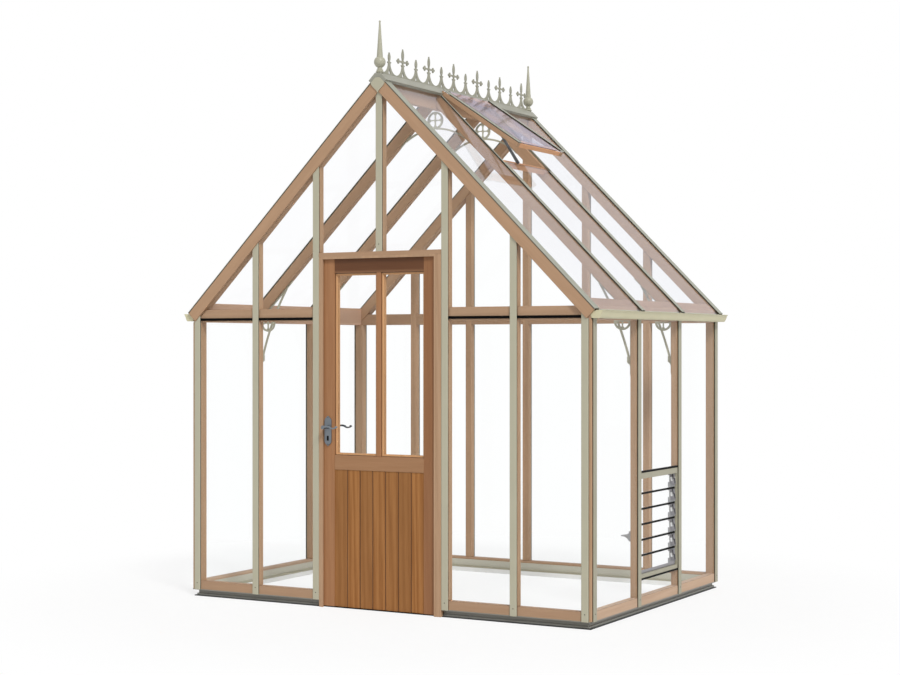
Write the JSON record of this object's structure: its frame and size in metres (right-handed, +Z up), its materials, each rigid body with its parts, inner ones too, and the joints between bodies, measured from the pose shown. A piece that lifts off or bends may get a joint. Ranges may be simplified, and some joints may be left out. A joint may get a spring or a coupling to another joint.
{
  "type": "glass greenhouse",
  "caption": "Gable-roofed cedar greenhouse glazed in clear panes under sage painted caps, with a half-glazed door, louvre window, open roof vent and cast ridge cresting.",
  "frame": {"origin": "ground level, centre of the plan", "axes": "+X to the right across the door gable, +Y from the door gable to the rear gable, +Z up"},
  "size_m": [2.758, 1.9428, 3.324],
  "materials": {
    "cedar": "oiled, light and slightly weathered",
    "door_cedar": "oiled, deeper brown",
    "sage_paint": "satin powder coat",
    "sage_casting": "painted casting",
    "cream_paint": "satin powder coat",
    "glass": "clear float glass",
    "base_alloy": "dark grey anodised",
    "mill_alloy": "mill finish",
    "black_strip": "matt",
    "pewter": "satin pewter"
  },
  "bodies": {
    "greenhouse": {"base_plinth": "base_alloy", "sills": "cedar", "sill_facings": "sage_paint", "corner_posts": "cedar", "front_bars": "cedar", "rear_bars": "cedar", "side_bars": "cedar", "tie_rails": "cedar", "eaves_plates": "cedar", "rafters": "cedar", "ridge_board": "cedar", "barge_boards": "cedar", "ridge_cap": "sage_paint", "ridge_cresting": "sage_casting", "finials": "sage_casting", "apex_plates": "sage_paint", "gutters": "cream_paint", "front_caps": "sage_paint", "rear_caps": "sage_paint", "side_caps": "sage_paint", "roof_caps": "sage_paint", "front_glass": "glass", "rear_glass": "glass", "side_glass": "glass", "roof_glass": "glass", "glazing_strips": "black_strip", "door_jambs": "cedar", "door_head": "cedar", "door_stops": "cedar", "hinge_frame_leaves": "pewter", "louvre_jambs": "sage_paint", "louvre_rails": "sage_paint", "louvre_channels": "mill_alloy", "louvre_blades": "glass", "louvre_handle": "mill_alloy", "vent_trimmer": "cedar", "vent_hinge": "mill_alloy", "vent_stiles": "cedar", "vent_rails": "cedar", "vent_caps": "sage_paint", "vent_glass": "glass", "vent_opener": "mill_alloy", "ridge_spandrels": "sage_casting", "eave_spandrels": "sage_casting"},
    "door": {"door_stiles": "door_cedar", "door_rails": "door_cedar", "door_muntin": "door_cedar", "door_panel": "door_cedar", "door_glass": "glass", "handle_plates": "pewter", "hinge_door_leaves": "pewter"},
    "lever": {"door_lever": "pewter"}
  },
  "joints": [
    {"name": "door_hinge", "type": "hinge", "parent": "greenhouse", "child": "door", "pos_m": [0.3675, -0.872, 0], "axis": [0, 0, -1], "range_deg": [0, 95]},
    {"name": "lever_turn", "type": "hinge", "parent": "door", "child": "lever", "pos_m": [-0.3472, -0.9235, 1.03], "axis": [0, 1, 0], "range_deg": [0, 40], "stiffness_Nm_per_rad": 1.2}
  ]
}
